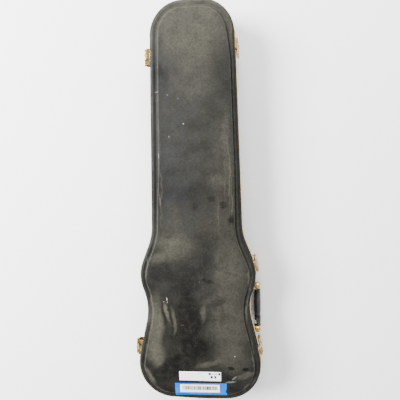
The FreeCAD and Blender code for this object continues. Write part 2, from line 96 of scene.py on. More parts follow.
WALL_INSET = 1.5 * MM
SHELL_THICK = 3.0 * MM
RIM_DEPTH = 13.0 * MM
BASE_DRAFT = 2.5 * MM
LID_DRAFT = 1.5 * MM
BEAD_INSET = 12.0 * MM
BEAD_DEPTH = 4.4 * MM
GROOVE_INSET = 16.8 * MM
GROOVE_DEPTH = 5.2 * MM
PANEL_INSET = 22.6 * MM
BORDER_LEFT = 5.0 * MM  # the panel's edge is not evenly far in along the neck
BORDER_RIGHT = -4.0 * MM
BORDER_HEAD = 7.0 * MM
CROWN = 1.6 * MM  # the lid's panel rises this much towards its middle
CROWN_RUN = 60 * MM  # over this distance from its edge
DENT = 0.7 * MM  # and is this uneven
CROWNED_RINGS = 18  # rings of the lid, from its middle, that take crown and dents

CAMERA_AT = Vector((0.085, 0.075, 0.96))
CAMERA_AIM = Vector((0.0129, 0.0188, 0.11))
CAMERA_ROLL = -0.02295
CAMERA_LENS = 28.32


# ---- outline ----
def outline():
    """Points round the case with inward normals, anticlockwise from the middle of the head end.

    The samples are symmetric: point i and point -i are mirror images.
    """
    left = [(-x, y, r) for x, y, r in OUTLINE_CORNERS]
    loop = left + [TAIL_CORNER] + OUTLINE_CORNERS[::-1]
    here = Vector((0.0, HEAD_END_Y))
    points = [here]
    normals = [Vector((0.0, -1.0))]

    def straight(target):
        run = target - here
        count = max(2, round(run.length / OUTLINE_STEP))
        inward = Vector((-run.y, run.x)).normalized()
        for k in range(1, count):
            points.append(here + run * (k / count))
            normals.append(inward)

    for i, (x, y, radius) in enumerate(loop):
        corner = Vector((x, y))
        come = (corner - Vector(loop[i - 1][:2])).normalized()
        leave = (Vector(loop[(i + 1) % len(loop)][:2]) - corner).normalized()
        turn = math.atan2(come.x * leave.y - come.y * leave.x, come.dot(leave))
        side = 1 if turn > 0 else -1
        start = corner - come * (radius * math.tan(abs(turn) / 2))
        centre = start + Vector((-come.y, come.x)) * (radius * side)
        straight(start)
        first = math.atan2(start.y - centre.y, start.x - centre.x)
        count = 2 * max(2, round(radius * abs(turn) / OUTLINE_STEP / 2))
        for k in range(count + 1):
            angle = first + turn * k / count
            away = Vector((math.cos(angle), math.sin(angle)))
            points.append(centre + away * radius)
            normals.append(away * -side)
        here = points[-1]
    straight(points[0])
    return np.array(points), np.array(normals)


RIM, INWARD = outline()


def ring(inset, z):
    """The outline moved inwards by inset, at height z."""
    flat = RIM + INWARD * inset
    return np.column_stack([flat, np.full(len(flat), z)])


def smooth(value, low, high):
    t = np.clip((value - low) / (high - low), 0, 1)
    return t * t * (3 - 2 * t)


def border_shift(points):
    """How much further in the panel's edge lies than on the body, for points on the outline."""
    neck = smooth(points[:, 1], -0.06, 0.12)
    head = smooth(points[:, 1], 0.38, 0.5)
    side = np.where(points[:, 0] < 0, BORDER_LEFT, BORDER_RIGHT)
    return neck * (side * (1 - head) + BORDER_HEAD * head)


def border_share(inset):
    """How much of that shift a ring takes: none at the rim, all of it at the panel's edge."""
    return smooth(inset, 8 * MM, PANEL_INSET) * (1 - smooth(inset, 30 * MM, SPINE_INSET))


def panel_ring(inset, z):
    """A ring that follows the panel's uneven edge."""
    shift = border_shift(RIM) * border_share(inset)
    flat = RIM + INWARD * (inset + shift)[:, None]
    return np.column_stack([flat, np.full(len(flat), z)])


def towards_spine(share, z):
    """The ring at SPINE_INSET, moved by share of the way to the case's middle line."""
    here = ring(SPINE_INSET, z)
    spine = np.column_stack([np.zeros(len(here)), np.clip(here[:, 1], *SPINE_Y), here[:, 2]])
    return here + (spine - here) * share


def inset_of(points):
    """How far inside the outline each point lies, worked out batch by batch to spare memory."""
    nearest = np.empty(len(points))
    batch = 2000
    for k in range(0, len(points), batch):
        part = points[k:k + batch, None, :2] - RIM[None]
        nearest[k:k + batch] = np.sqrt((part ** 2).sum(2).min(1))
    return nearest


def ripple(points, size, amount):
    """A soft unevenness at each point, always the same."""
    values = [noise.noise(Vector((p[0] / size, p[1] / size, p[2] / size))) for p in points]
    return np.array(values) * amount


# ---- meshes ----
def add_object(name, data):
    made = bpy.data.objects.new(name, data)
    bpy.context.scene.collection.objects.link(made)
    return made


def add_mesh(name, points, faces):
    data = bpy.data.meshes.new(name)
    data.from_pydata([tuple(p) for p in points], [], faces)
    work = bmesh.new()
    work.from_mesh(data)
    bmesh.ops.remove_doubles(work, verts=work.verts, dist=1e-6)
    bmesh.ops.recalc_face_normals(work, faces=work.faces)
    for face in work.faces:
        face.smooth = True
    work.to_mesh(data)
    work.free()
    return add_object(name, data)


def loft(name, rings, closed):
    """Quads between rings with the same number of points; closed joins the last ring to the first."""
    count = len(rings[0])
    faces = []
    last = len(rings) if closed else len(rings) - 1
    for r in range(last):
        s = (r + 1) % len(rings)
        for k in range(count):
            n = (k + 1) % count
            faces.append((r * count + k, r * count + n, s * count + n, s * count + k))
    return add_mesh(name, np.vstack(rings), faces)


def arc(centre, radii, first, last, steps):
    """Points on an ellipse's arc, angles in degrees."""
    angles = np.radians(np.linspace(first, last, steps))
    return [(centre[0] + radii[0] * math.cos(a), centre[1] + radii[1] * math.sin(a)) for a in angles]


def edge_profile(draft):
    """Outer profile from the shell's edge to its panel, as (inset, depth below the panel)."""
    wall = WALL_INSET + draft
    profile = arc((BEAD_INSET, RIM_DEPTH), (BEAD_INSET - wall, RIM_DEPTH - BEAD_DEPTH), 180, 270, 9)
    for t in np.linspace(0.15, 1.0, 7):
        fall = t * t * (3 - 2 * t)
        inset = BEAD_INSET + (GROOVE_INSET - BEAD_INSET) * t
        profile.append((inset, BEAD_DEPTH + (GROOVE_DEPTH - BEAD_DEPTH) * fall))
    for t in np.linspace(0.1, 1.0, 12):
        rise = t ** 1.4 * (1 + 1.4 * (1 - t))
        inset = GROOVE_INSET + (PANEL_INSET - GROOVE_INSET) * t
        profile.append((inset, GROOVE_DEPTH * (1 - rise)))
    return profile


def inner_profile(draft):
    """The inside face, from the panel back to the shell's edge, as (inset, depth)."""
    wall = WALL_INSET + draft + SHELL_THICK
    profile = [(PANEL_INSET + 8 * MM, SHELL_THICK), (PANEL_INSET + MM, SHELL_THICK)]
    profile += [(20.6 * MM, 4.6 * MM), (GROOVE_INSET, 9.2 * MM), (BEAD_INSET, 8.4 * MM)]
    return profile + [(wall + 1.2 * MM, 10.4 * MM), (wall, RIM_DEPTH)]


LID_PROFILE = edge_profile(LID_DRAFT)
PROFILE_INSETS = [p[0] for p in LID_PROFILE]
PROFILE_DEPTHS = [p[1] for p in LID_PROFILE]


def lid_height(points, depth=None):
    """Height of the lid's outer surface above each point, with its crown and dents."""
    inset = inset_of(points)
    if depth is None:
        depth = np.interp(inset, PROFILE_INSETS, PROFILE_DEPTHS)
    inside = smooth(inset, PANEL_INSET, PANEL_INSET + CROWN_RUN)
    flat = np.column_stack([points[:, :2], np.zeros(len(points))])
    return LID_HIGH.z - depth + CROWN * inside + ripple(flat, 0.11, DENT) * (0.3 + 0.7 * inside)


def shell(name, edge_z, panel_z, draft):
    """A moulded half as a closed solid with its true thickness."""
    up = 1 if panel_z > edge_z else -1
    wall_top = panel_z - up * RIM_DEPTH
    skin = [towards_spine(share, panel_z) for share in (1.0, 0.85, 0.7, 0.56, 0.42, 0.28, 0.14)]
    skin += [panel_ring(inset * MM, panel_z) for inset in (60, 52, 44, 37, 31, 26)]
    skin += [panel_ring(inset, panel_z - up * depth) for inset, depth in edge_profile(draft)[::-1]]
    if up > 0:
        for here in skin[:CROWNED_RINGS]:
            here[:, 2] = lid_height(here, panel_z - here[:, 2])
    for t in (0.93, 0.8, 0.6, 0.4, 0.2, 0.0):
        skin.append(ring(WALL_INSET + draft * t, edge_z + (wall_top - edge_z) * t))
    inside = [ring(WALL_INSET + SHELL_THICK, edge_z)]
    inside += [panel_ring(inset, panel_z - up * depth) for inset, depth in inner_profile(draft)[::-1]]
    for share in (0.0, 0.5, 1.0):
        inside.append(towards_spine(share, panel_z - up * SHELL_THICK))
    return loft(name, skin + inside, False)


def extrusion(name, section):
    """A closed section of (inset, z) points, carried round the outline."""
    return loft(name, [ring(inset, z) for inset, z in section], True)


def ribbed_face(inset, low, high):
    """Section points up an outer face with fine grooves rolled into it."""
    ribs = 3
    groove = 0.25 * MM
    face = []
    pitch = (high - low) / ribs
    for k in range(ribs):
        bottom = low + k * pitch
        face += [(inset + groove, bottom + 0.08 * pitch), (inset, bottom + 0.22 * pitch)]
        face += [(inset, bottom + 0.78 * pitch), (inset + groove, bottom + 0.92 * pitch)]
    return face


def valances():
    """The two interlocking aluminium extrusions round the opening."""
    thick = 1.4 * MM
    flange = 1.3 * MM
    proud = -1.5 * MM
    lip = 5.3 * MM  # the base's upright lip, just inside the lid's inner edge
    lid_reach = 4.5 * MM
    parting = 0.3 * MM
    corner = 0.5 * MM
    top = BASE_RIM_HIGH.z
    seat = LID_RIM_LOW.z - parting
    base = ribbed_face(proud, BASE_RIM_LOW.z + 0.3 * MM, seat - corner)
    base += [(proud + 0.15 * MM, seat - 0.2 * MM), (proud + corner, seat)]
    base += [(lip, seat), (lip, top - 0.3 * MM)]
    base += [(lip + 0.4 * MM, top), (lip + thick - 0.4 * MM, top), (lip + thick, top - 0.3 * MM)]
    base += [(lip + thick, seat - flange), (thick, seat - flange), (thick, BASE_RIM_LOW.z)]
    base.append((proud + corner, BASE_RIM_LOW.z))
    low = LID_RIM_LOW.z
    lid = [(proud + corner, low), (proud + 0.15 * MM, low + 0.2 * MM)]
    lid += ribbed_face(proud, low + corner, LID_RIM_HIGH.z - 0.3 * MM)
    lid += [(proud + corner, LID_RIM_HIGH.z), (thick, LID_RIM_HIGH.z), (thick, low + flange)]
    lid += [(lid_reach, low + flange), (lid_reach, low)]
    return extrusion("base_valance_rolled", base), extrusion("lid_valance_rolled", lid)


# ---- materials ----
SPOT_Z = 0.09
SPOT_DEPTH = 0.5  # far more than the case is high, so the plan decides


class Finish:
    """A procedural material that reads its pattern from the piece's own coordinates."""

    def __init__(self, name, tone, roughness, **constants):
        self.material = bpy.data.materials.new(name)
        self.material.use_nodes = True
        self.tree = self.material.node_tree
        self.shader = self.tree.nodes["Principled BSDF"]
        self.shader.inputs["Roughness"].default_value = roughness
        for key, value in constants.items():
            self.shader.inputs[key.replace("_", " ")].default_value = value
        self.tone = tone
        self.place = self.node("TexCoord").outputs["Object"]

    def node(self, kind, inputs=(), **settings):
        made = self.tree.nodes.new("ShaderNode" + kind)
        for key, value in settings.items():
            setattr(made, key, value)
        for key, value in dict(inputs).items():
            if isinstance(value, bpy.types.NodeSocket):
                self.tree.links.new(value, made.inputs[key])
            else:
                made.inputs[key].default_value = value
        return made

    def noise(self, scale, detail=4.0, roughness=0.55, vector=None):
        vector = self.place if vector is None else vector
        inputs = {"Vector": vector, "Scale": scale, "Detail": detail, "Roughness": roughness}
        return self.node("TexNoise", inputs).outputs[0]

    def streaks(self, scale, turn, detail, roughness):
        """Noise that is drawn out one way."""
        inputs = {"Vector": self.place, "Scale": scale, "Rotation": (0, 0, math.radians(turn))}
        return self.noise(1.0, detail, roughness, self.node("Mapping", inputs).outputs[0])

    def patches(self, texture, *limits):
        """Noise cut into patches: texture is what noise takes, limits what band takes."""
        return self.band(self.noise(*texture), *limits)

    def cells(self, scale):
        inputs = {"Vector": self.place, "Scale": scale}
        return self.node("TexVoronoi", inputs, feature="F1").outputs["Distance"]

    def band(self, value, low, high, start=0.0, end=1.0):
        inputs = {"Value": value, "From Min": low, "From Max": high, "To Min": start, "To Max": end}
        return self.node("MapRange", inputs, interpolation_type="SMOOTHSTEP").outputs[0]

    def math(self, operation, a, b=0.0):
        return self.node("Math", {0: a, 1: b}, operation=operation).outputs[0]

    def times(self, *values):
        product = values[0]
        for value in values[1:]:
            product = self.math("MULTIPLY", product, value)
        return product

    def plus(self, *values):
        total = values[0]
        for value in values[1:]:
            total = self.math("ADD", total, value)
        return total

    def coat(self, tint, *shares):
        """Lays a tint over the colour so far, as strongly as the shares' product says."""
        made = self.node("Mix", {"Factor": self.times(*shares)}, data_type="RGBA")
        below, above = [s for s in made.inputs if s.type == "RGBA"]
        if isinstance(self.tone, bpy.types.NodeSocket):
            self.tree.links.new(self.tone, below)
        else:
            below.default_value = (*self.tone, 1.0)
        above.default_value = (*tint, 1.0)
        self.tone = [s for s in made.outputs if s.type == "RGBA"][0]
        self.tree.links.new(self.tone, self.shader.inputs["Base Color"])

    def spot(self, vector, centre, radii, turn, core):
        """1 inside an ellipse on the plan, in millimetres, falling softly to 0 at its edge.

        The gradient takes the mapped point as it is. A node that wants a vector would make
        Cycles keep all the spots' points at once, which is too much for a material with many.
        """
        inputs = {
            "Vector": vector,
            "Location": (centre[0] * MM, centre[1] * MM, SPOT_Z),
            "Rotation": (0, 0, math.radians(turn)),
            "Scale": (radii[0] * MM, radii[1] * MM, SPOT_DEPTH),
        }
        local = {"Vector": self.node("Mapping", inputs, vector_type="TEXTURE").outputs[0]}
        inside = self.node("TexGradient", local, gradient_type="SPHERICAL").outputs["Fac"]
        return self.band(inside, 0.0, 1.0 - core)

    def roughness(self, value):
        self.tree.links.new(value, self.shader.inputs["Roughness"])

    def bump(self, *layers):
        """Layers of (height, distance) on top of each other."""
        normal = None
        for height, distance in layers:
            inputs = {"Height": height, "Distance": distance, "Strength": 1.0}
            if normal is not None:
                inputs["Normal"] = normal
            normal = self.node("Bump", inputs).outputs[0]
        self.tree.links.new(normal, self.shader.inputs["Normal"])


def leather_grain(finish, scale=520.0):
    """Pebbled grain as moulded plastic carries it: rounded cells with fine creases."""
    wobble = finish.noise(160.0, 2.0)
    cells = finish.cells(scale)
    fine = finish.noise(scale * 3.1, 3.0)
    return finish.plus(finish.times(cells, -0.8), finish.times(wobble, 0.5), finish.times(fine, 0.25))


def plan_vector(finish, amount, scale):
    """The piece's coordinates, pushed about by noise so that stains have ragged edges."""
    inputs = {"Vector": finish.place, "Scale": scale, "Detail": 5.0, "Roughness": 0.6}
    cloud = finish.node("TexNoise", inputs).outputs["Color"]
    inputs = {0: cloud, 1: (0.5, 0.5, 0.5)}
    centred = finish.node("VectorMath", inputs, operation="SUBTRACT").outputs[0]
    scaled = finish.node("VectorMath", {0: centred, "Scale": amount}, operation="SCALE").outputs[0]
    return finish.node("VectorMath", {0: finish.place, 1: scaled}, operation="ADD").outputs[0]


CHARCOAL = (0.0036, 0.0037, 0.0033)
COOL_GREY = (0.0122, 0.0135, 0.0152)
WARM_GREY = (0.0122, 0.0118, 0.0084)
# colour of dust, also used as painted highlight on the crests and in some spots
DUST_AND_HIGHLIGHT = (0.063, 0.0595, 0.0455)
# black of clean plastic, also painted as shade on the sloping and upright faces
CLEAN_BLACK_AND_SHADE = (0.0008, 0.0008, 0.0008)
CHALK = (0.45, 0.43, 0.38)

# Stains, dust and painted highlights on the lid: centre and radii in millimetres, turn in degrees, strength
COOL_SPOTS = [
    ((-45, 130), (80, 240), 0, 1.0),
    ((-40, -10), (80, 100), 0, 1.0),
    ((-20, -200), (110, 70), 0, 0.9),
    ((-85, 350), (45, 80), 0, 0.9),
]
# Dust, and painted highlights: the narrow stripes near the panel's edges and the light streaks on the lower
# bout
DUST_AND_HIGHLIGHT_SPOTS = [
    ((0, 480), (150, 150), 0, 0.66),
    ((0, 340), (90, 90), 0, 0.26),
    ((0, 220), (140, 260), 0, 0.17),
    ((78, 90), (50, 230), 0, 0.24),
    ((0, -60), (170, 100), 0, 0.24),
    ((-75, -90), (70, 50), 0, 0.3),
    ((0, -200), (150, 100), 0, 0.16),
    ((62, 75), (40, 28), 20, 0.26),
    ((85, 180), (14, 120), 0, 0.26),
    ((92, 90), (3, 150), 0, 0.6),
    ((99, 10), (2, 110), 1, 0.6),
    ((78, 60), (2, 90), 0, 0.4),
    ((62, -20), (1.5, 60), 0, 0.5),
    ((16, -160), (1.5, 80), 0, 0.35),
    ((-93, 80), (4, 200), 0, 0.35),
    ((-60, -20), (30, 60), 10, 0.2),
    ((-55, -112), (66, 52), 16, 0.42),
    ((-108, -142), (36, 22), 20, 0.55),
    ((-118, -330), (28, 120), -2, 0.85),
    ((-122, -412), (36, 52), 8, 0.75),
    ((-86, -292), (9, 40), 6, 0.95),
    ((-68, -318), (7, 52), 3, 0.8),
    ((90, -180), (70, 120), 0, 0.52),
    ((85, -330), (80, 120), 0, 0.52),
    ((95, -425), (70, 50), 0, 0.38),
    ((16, -292), (12, 34), -12, 0.55),
    ((32, -252), (30, 14), 35, 0.4),
    ((30, -438), (55, 12), 14, 0.5),
    ((128, -468), (36, 12), 20, 0.6),
    ((-140, -475), (10, 40), 32, 0.8),
    ((140, -500), (8, 40), -38, 0.55),
    ((-105, -515), (30, 6), -24, 0.5),
    ((142, -195), (5, 55), 0, 0.75),
    ((136, -275), (4, 60), -3, 0.55),
    ((149, -405), (4, 60), 9, 0.7),
    ((-139, -170), (4, 45), 0, 0.75),
    ((-126, -265), (4, 50), 8, 0.6),
]
DARK_POOLS = [
    ((-98, 362), (28, 23), -30, 0.75),
    ((-98, -180), (42, 34), -8, 0.62),
    ((-32, -205), (50, 58), -12, 0.66),
    ((28, -160), (34, 50), 0, 0.4),
    ((-26, -310), (38, 100), 2, 0.9),
    ((-12, -392), (45, 42), 0, 0.95),
    ((-58, -440), (60, 32), 14, 0.9),
    ((-90, -462), (50, 28), 10, 0.85),
    ((92, -447), (13, 7), 4, 1.0),
    ((130, -450), (12, 7), -4, 1.0),
]
DARK_SMUDGES = [
    ((-72, 350), (18, 24), 0, 0.7),
    ((-110, 340), (16, 50), 0, 0.6),
    ((45, 22), (14, 16), 0, 0.95),
    ((75, 4), (15, 15), 0, 0.95),
    ((99, -38), (15, 20), 10, 0.95),
    ((0, 52), (22, 28), 0, 0.5),
    ((-2, 2), (14, 14), 0, 0.7),
    ((-78, -78), (14, 10), 0, 0.6),
    ((26, -90), (50, 50), 0, 0.45),
    ((28, -204), (26, 8), -12, 1.0),
    ((-96, -305), (7, 58), 5, 1.0),
    ((-77, -330), (4, 60), 3, 0.95),
    ((62, -262), (32, 14), 30, 0.6),
    ((70, -300), (10, 60), 0, 0.3),
    ((80, -478), (18, 9), 0, 0.9),
    ((98, -512), (26, 18), -12, 1.0),
    ((-92, -512), (32, 14), -12, 1.0),
]
SCUFFS = [
    ((-85, -254), (1.8, 6), 4, 0.9),
    ((-83.5, -263), (1.2, 3), -6, 0.6),
    ((-94, -262), (3, 1), 40, 0.5),
    ((-97, 310), (7, 1), -3, 0.35),
    ((-67, 300), (1.6, 1.6), 0, 0.35),
    ((-39, 290), (1.4, 1.4), 0, 0.25),
    ((-26, 223), (1.8, 2.2), 0, 0.7),
    ((-66, 190), (1.2, 4), 4, 0.3),
    ((-96, 140), (1, 10), 0, 0.35),
    ((-96, 20), (0.8, 24), 0, 0.25),
    ((7, -206), (1.6, 1.2), 30, 0.25),
    ((100, -415), (1.8, 2), 0, 0.7),
    ((-43, -328), (5, 0.8), 8, 0.2),
    ((88, -489), (18, 3.2), 6, 0.22),
    ((98, -477), (11, 3.2), 40, 0.18),
]


def lay_spots(finish, vector, spots, spot_colour, core, thin=0.35):
    """Lays spots of one colour over the colour so far: stains, dust, and painted highlights.

    core is the share of a spot's radius at full strength, thin the least strength of its ragged parts.
    """
    ragged = finish.patches((34.0, 6.0, 0.65), 0.3, 0.68, thin, 1.0)
    for centre, radii, turn, strength in spots:
        finish.coat(spot_colour, finish.spot(vector, centre, radii, turn, core), ragged, strength)


def shell_finish(name, with_marks):
    """Black moulded plastic with leather grain, dulled by dust, handling and scratches; its sloping and
    upright faces are painted black as shade, and its crests and some spots are lightened as painted
    highlight.
    """
    finish = Finish(name, WARM_GREY, 0.6, Specular_IOR_Level=0.12)
    cool = finish.patches((5.0, 3.0), 0.38, 0.66)
    mottle = finish.patches((30.0, 8.0, 0.72), 0.32, 0.68)
    vector = plan_vector(finish, 0.03, 17.0)
    crest = finish.node("Attribute", attribute_name="crest").outputs["Fac"]
    border = finish.node("Attribute", attribute_name="border").outputs["Fac"]
    inputs = {0: finish.node("TexCoord").outputs["Normal"]}
    upright = finish.band(finish.node("SeparateXYZ", inputs).outputs[2], 0.28, 0.78)
    finish.coat(COOL_GREY, cool, 0.5)
    if with_marks:
        lay_spots(finish, vector, COOL_SPOTS, COOL_GREY, 0.5)
    finish.coat(CHARCOAL, mottle)
    finish.coat(CLEAN_BLACK_AND_SHADE, border, 0.4)
    if with_marks:
        # dust and painted highlights
        lay_spots(finish, vector, DUST_AND_HIGHLIGHT_SPOTS, DUST_AND_HIGHLIGHT, 0.3, 0.58)
        lay_spots(finish, vector, DARK_POOLS, CLEAN_BLACK_AND_SHADE, 0.62, 0.7)
        lay_spots(finish, vector, DARK_SMUDGES, CLEAN_BLACK_AND_SHADE, 0.25)
    wear = finish.patches((55.0, 7.0, 0.72), 0.38, 0.66, 0.25, 1.0)
    # dust and painted highlight along the bead's crest and the panel's edge, broken up in patches
    finish.coat(DUST_AND_HIGHLIGHT, finish.band(crest, 0.25, 1.0), wear, 0.72)
    # painted shade: faces that do not look up are painted black, darker than the faces that do
    finish.coat(CLEAN_BLACK_AND_SHADE, finish.math("SUBTRACT", 1.0, upright))
    finish.coat(CLEAN_BLACK_AND_SHADE, finish.patches((190.0, 4.0, 0.7), 0.36, 0.66), 0.35)
    grain = finish.cells(520.0)
    settled = finish.times(finish.band(grain, 0.35, 0.75), finish.patches((60.0, 5.0), 0.35, 0.7))
    finish.coat(DUST_AND_HIGHLIGHT, settled, finish.band(upright, 0.0, 1.0, 0.07, 0.22))
    runs = (((900, 14, 60), 12, 0.7), ((14, 900, 60), -20, 0.71), ((700, 18, 60), 48, 0.72))
    marks = [finish.band(finish.streaks(size, turn, 3.0, 0.5), low, low + 0.06) for size, turn, low in runs]
    scratches = finish.plus(*marks)
    finish.coat(DUST_AND_HIGHLIGHT, scratches, 0.35)
    if with_marks:
        broken = finish.patches((380.0, 3.0, 0.6), 0.36, 0.56, 0.15, 1.0)
        for centre, radii, turn, strength in SCUFFS:
            finish.coat(CHALK, finish.spot(finish.place, centre, radii, turn, 0.5), broken, strength)
    flat = finish.band(finish.plus(mottle, finish.times(cool, 0.4)), 0.0, 1.4, 0.62, 0.44)
    finish.roughness(finish.plus(flat, finish.band(upright, 0.0, 1.0, 0.26, 0.0)))
    finish.bump((leather_grain(finish), 0.00028), (finish.noise(11.0, 4.0), 0.0012), (scratches, -0.00006))
    return finish.material


def plated_finish(name, bright, dull, roughness=(0.22, 0.42)):
    """Thin plating with tarnish in blotches, dark flecks and hairline scratches."""
    finish = Finish(name, bright, 0.3, Metallic=1.0)
    blotch = finish.patches((70.0, 6.0, 0.65), 0.38, 0.66)
    fleck = finish.patches((420.0, 4.0, 0.6), 0.6, 0.7)
    finish.coat(dull, blotch)
    finish.coat(tuple(c * 0.35 for c in dull), fleck, 0.5)
    hair = finish.streaks((260, 4200, 260), 7, 2.0, 0.5)
    finish.roughness(finish.band(finish.plus(blotch, finish.times(hair, 0.4)), 0.1, 1.3, *roughness))
    finish.bump((hair, 0.00002), (finish.noise(300.0, 3.0), 0.00003))
    return finish.material


def valance_finish(name):
    """Satin champagne-gold aluminium, drawn lengthwise, with dull grime and nicks."""
    finish = Finish(name, (0.9, 0.72, 0.42), 0.35, Metallic=1.0)
    drawn = finish.streaks((40, 40, 6000), 0, 3.0, 0.6)
    grime = finish.patches((24.0, 6.0, 0.65), 0.42, 0.68)
    nick = finish.patches((210.0, 3.0, 0.6), 0.66, 0.72)
    finish.coat((0.78, 0.61, 0.34), drawn)
    finish.coat((0.42, 0.34, 0.22), grime, 0.4)
    finish.coat((0.85, 0.82, 0.74), nick, 0.6)
    finish.roughness(finish.band(finish.plus(grime, drawn), 0.2, 1.6, 0.26, 0.48))
    finish.bump((drawn, 0.00003), (nick, -0.0001))
    return finish.material


def plush_finish(name, deep, lit):
    """Short-pile plush: brushed patches of nap, fine fibres and a soft sheen."""
    finish = Finish(name, deep, 0.95, Sheen_Weight=0.55, Sheen_Roughness=0.35, Specular_IOR_Level=0.15)
    finish.shader.inputs["Sheen Tint"].default_value = (0.75, 0.72, 0.78, 1.0)
    nap = finish.patches((19.0, 5.0, 0.6), 0.36, 0.66)
    brushed = finish.streaks((130, 34, 90), 20, 4.0, 0.6)
    fibre = finish.noise(2600.0, 2.0, 0.7)
    finish.coat(lit, nap)
    finish.coat(lit, finish.band(brushed, 0.35, 0.7), 0.4)
    finish.coat(tuple(c * 2.2 for c in lit), finish.band(fibre, 0.45, 0.75), 0.55)
    finish.bump((fibre, 0.00045), (brushed, 0.0006))
    return finish.material


def ribbon_finish(name, dark, light):
    """Woven ribbon: crossing ribs of thread."""
    finish = Finish(name, dark, 0.7, Sheen_Weight=0.25)
    inputs = {"Vector": finish.place, "Scale": 330.0, "Distortion": 0.6}
    ribs = [finish.node("TexWave", inputs, bands_direction=way).outputs["Fac"] for way in "XY"]
    weave = finish.times(*ribs)
    finish.coat(light, weave)
    finish.bump((weave, 0.0003), (finish.noise(90.0), 0.0004))
    return finish.material


def grip_finish(name):
    """Black moulded plastic, greyed where it is handled."""
    finish = Finish(name, (0.026, 0.026, 0.027), 0.5, Specular_IOR_Level=0.45)
    wear = finish.patches((60.0, 6.0, 0.7), 0.42, 0.68)
    handled = finish.patches((14.0, 3.0), 0.4, 0.6)
    finish.coat((0.055, 0.053, 0.048), wear)
    finish.coat((0.095, 0.09, 0.08), handled, 0.25)
    finish.roughness(finish.band(wear, 0.0, 1.0, 0.4, 0.58))
    finish.bump((leather_grain(finish, 900.0), 0.00018))
    return finish.material


def ground_finish(name):
    """Seamless pale studio paper."""
    finish = Finish(name, (0.93, 0.93, 0.93), 0.9, Specular_IOR_Level=0.1)
    finish.coat((0.95, 0.95, 0.945), finish.noise(3.0, 2.0))
    finish.bump((finish.noise(900.0, 2.0), 0.00004))
    return finish.material


def dress(piece, material):
    piece.data.materials.clear()
    piece.data.materials.append(material)


def stand_in(piece, material, slot, body, *nodes):
    """Dresses a piece that stands for these CAD nodes and moves with this body."""
    dress(piece, material)
    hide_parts(*nodes)
    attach(piece, body)


# ---- shells and valances ----
BEAD_WEAR_AND_HIGHLIGHT = 10 * MM  # middle of the lightened band on the bead, partly rubbed wear and partly painted highlight
BEAD_WEAR_AND_HIGHLIGHT_WIDTH = 2.6 * MM
EDGE_WEAR_AND_HIGHLIGHT = PANEL_INSET - 1.2 * MM  # and of the one on the panel's edge, a painted highlight line that is also worn
EDGE_WEAR_AND_HIGHLIGHT_WIDTH = 1.5 * MM


def mark_crests(piece, panel_z):
    """Stores crest, a band on the bead and a line at the panel's edge that are partly rubbed wear and partly
    painted highlight, and border, how near the dark band round the rim is.
    """
    count = len(piece.data.vertices)
    points = np.zeros(count * 3)
    piece.data.vertices.foreach_get("co", points)
    points = points.reshape(-1, 3)
    real = inset_of(points)
    inset = real
    for _ in range(12):  # undoes panel_ring's shift, whose share depends on the answer
        inset = real - border_shift(points) * border_share(inset)
    depth = np.abs(panel_z - points[:, 2])
    outside = depth < GROOVE_DEPTH + 0.6 * MM
    # bands that are lightened: partly rubbed wear, partly painted highlight
    bead = np.exp(-((inset - BEAD_WEAR_AND_HIGHLIGHT) / BEAD_WEAR_AND_HIGHLIGHT_WIDTH) ** 2) * 0.5
    edge = np.exp(-((inset - EDGE_WEAR_AND_HIGHLIGHT) / EDGE_WEAR_AND_HIGHLIGHT_WIDTH) ** 2)
    headwards = smooth(points[:, 1], 0.3, 0.48)
    crest = np.where(outside, np.maximum(bead * (1 + 0.7 * headwards), edge), 0.0)
    border = np.where(inset < PANEL_INSET, 1.0 - smooth(inset, GROOVE_INSET, PANEL_INSET - 1 * MM), 0.0)
    neck_left = smooth(points[:, 1], -0.1, 0.1) * smooth(-points[:, 0], 0.0, 0.04)
    border = border * (1.0 - smooth(points[:, 1], 0.28, 0.5)) * (0.25 + 0.75 * neck_left)
    for name, value in (("crest", crest), ("border", border)):
        layer = piece.data.attributes.new(name, "FLOAT", "POINT")
        layer.data.foreach_set("value", value.astype(np.float32))


def shells():
    lid = shell("lid_moulding", LID_LOW.z, LID_HIGH.z, LID_DRAFT)
    mark_crests(lid, LID_HIGH.z)
    stand_in(lid, shell_finish("lid_plastic", True), "shell", "lid", "lid_shell")
    base = shell("base_moulding", BASE_HIGH.z, BASE_LOW.z, BASE_DRAFT)
    mark_crests(base, BASE_LOW.z)
    stand_in(base, shell_finish("base_plastic", False), "shell", "base", "base_shell")
    gold = valance_finish("valance_gold")
    base_rim, lid_rim = valances()
    stand_in(base_rim, gold, "valance", "base", "base_valance")
    stand_in(lid_rim, gold, "valance", "lid", "lid_valance")


# ---- padding ----
PAD_VOXEL = 4 * MM
SWELL_FRAMES = 20
SWELL_CAP = 2.4 * MM  # no point of a pad swells further than this


